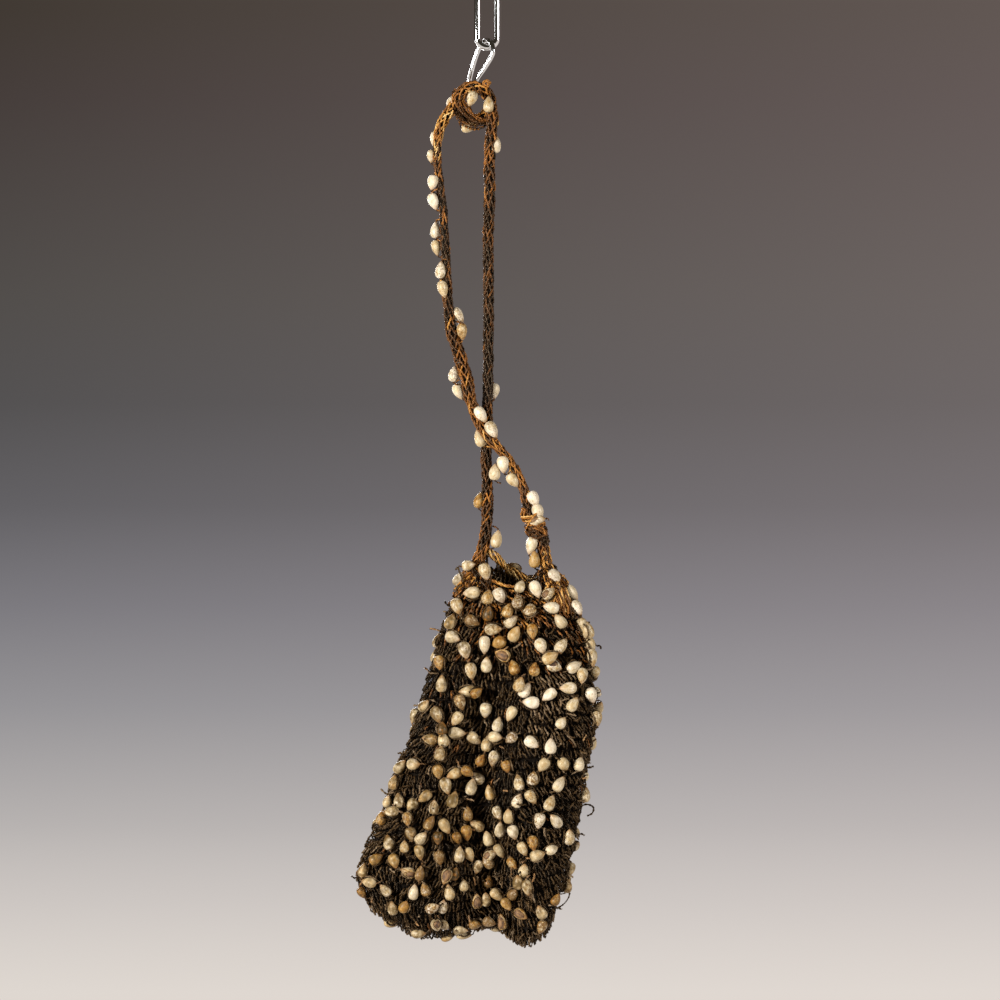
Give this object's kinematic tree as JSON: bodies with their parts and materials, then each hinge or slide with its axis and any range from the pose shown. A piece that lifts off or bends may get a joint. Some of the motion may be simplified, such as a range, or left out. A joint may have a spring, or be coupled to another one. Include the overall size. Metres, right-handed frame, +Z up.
{
  "type": "bilum string bag on a wire link",
  "caption": "Small looped string bag dotted with seeds, hanging by its long narrow strap from a wire link on a steel chain link.",
  "frame": {"origin": "the hang point: the inside of the chain link's upper bend, where a nail or a hook carries the whole", "axes": "+Z up, -Y the bag's front, +X to the right seen from the front"},
  "size_m": [0.1128, 0.0391, 0.4645],
  "materials": {
    "dark_string": "matt two-ply plant-fibre string, near-black brown, with cream seeds",
    "undyed_cord": "matt undyed two-ply cord, golden tan",
    "brown_string": "matt looped string, reddish brown with golden strands",
    "lashing_cord": "matt cord wound round the strap",
    "link_steel": "bright plated wire, polished",
    "wire_steel": "bright drawn wire"
  },
  "bodies": {
    "root": {"bag_net": "dark_string", "mouth_rim": "undyed_cord", "strap": "brown_string", "strap_lashing": "lashing_cord", "chain_link": "link_steel", "wire_link": "wire_steel"}
  },
  "joints": []
}
